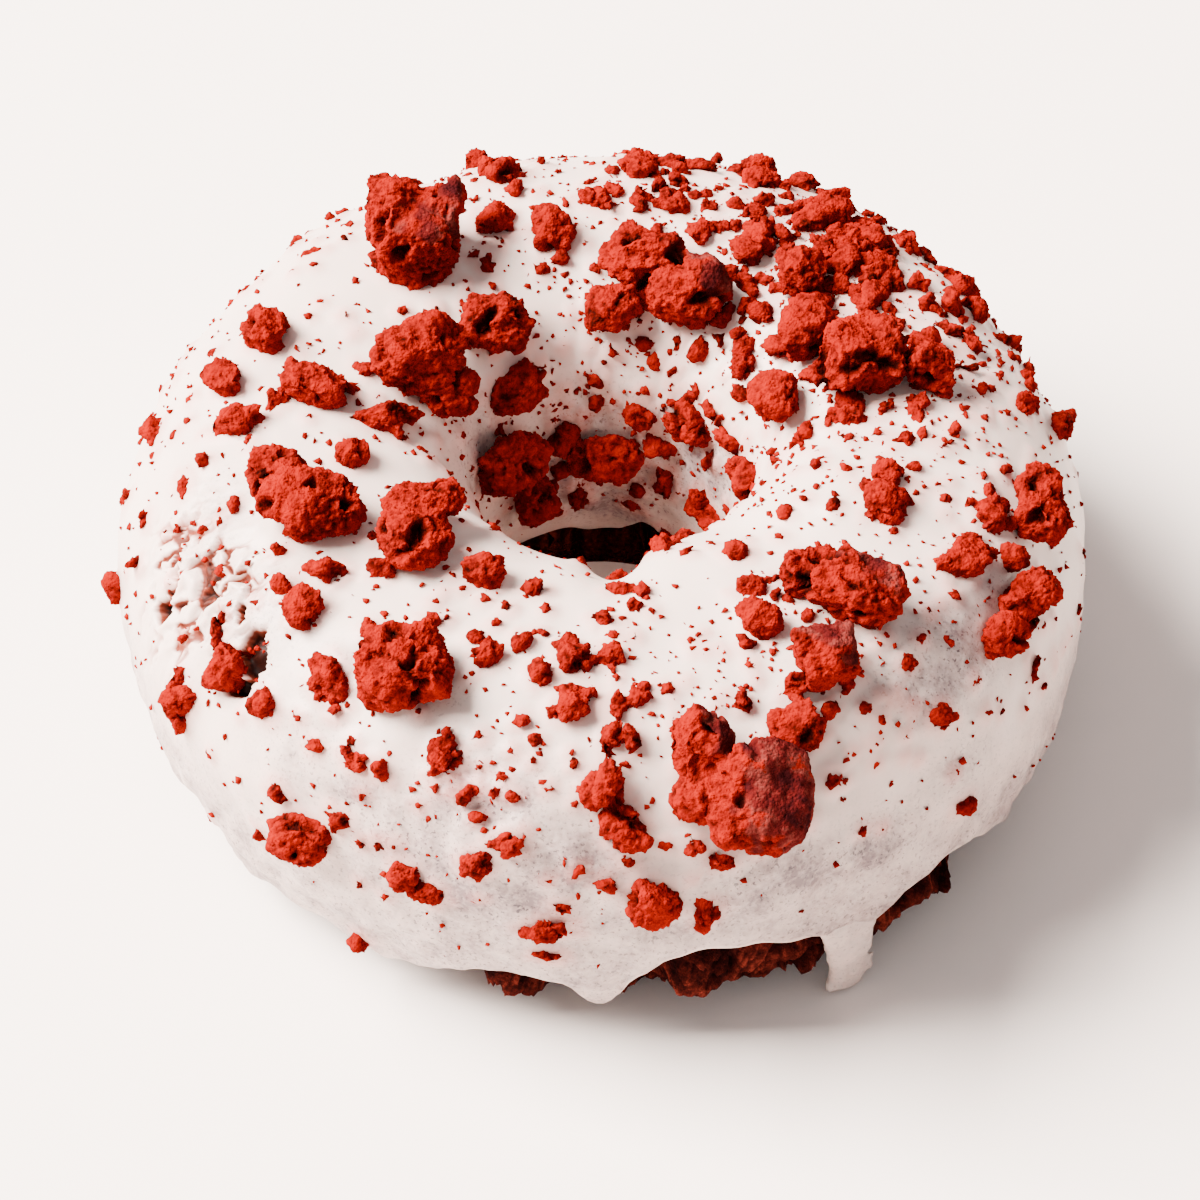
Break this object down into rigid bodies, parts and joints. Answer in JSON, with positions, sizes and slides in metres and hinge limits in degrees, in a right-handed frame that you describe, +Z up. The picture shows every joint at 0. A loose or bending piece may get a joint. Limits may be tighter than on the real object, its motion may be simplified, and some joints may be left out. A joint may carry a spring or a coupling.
{
  "type": "glazed red cake doughnut topped with cake crumbs",
  "caption": "Ring doughnut of red cake, dipped in white glaze that runs down in drips, topped with coarse crumbs of the same cake. It lies flat.",
  "frame": {"origin": "on the surface that the doughnut rests on, under the middle of its box", "axes": "+Z up, along the hole; -Y towards the side with the long drip, which the picture shows in front; +X to the right in the picture"},
  "size_m": [0.0859, 0.0873, 0.0407],
  "materials": {
    "red_cake": "rough open cake crumb, dry and dark red",
    "white_glaze": "set sugar glaze, smooth and slightly translucent with a soft sheen",
    "cake_crumb": "broken cake, porous and matte"
  },
  "bodies": {
    "root": {"cake": "red_cake", "crumb_back": "cake_crumb", "crumb_back_inner": "cake_crumb", "crumb_back_left": "cake_crumb", "crumb_back_right": "cake_crumb", "crumb_back_right_far": "cake_crumb", "crumb_back_small": "cake_crumb", "crumb_block_right": "cake_crumb", "crumb_block_top": "cake_crumb", "crumb_front": "cake_crumb", "crumb_front_left": "cake_crumb", "crumb_front_right": "cake_crumb", "crumb_hole_back": "cake_crumb", "crumb_hole_left": "cake_crumb", "crumb_hole_low": "cake_crumb", "crumb_left": "cake_crumb", "crumb_left_far": "cake_crumb", "crumb_left_inner": "cake_crumb", "crumb_left_rim": "cake_crumb", "crumb_right": "cake_crumb", "crumb_right_inner": "cake_crumb", "crumb_right_low": "cake_crumb", "crumb_right_top": "cake_crumb", "glaze": "white_glaze"}
  },
  "joints": []
}
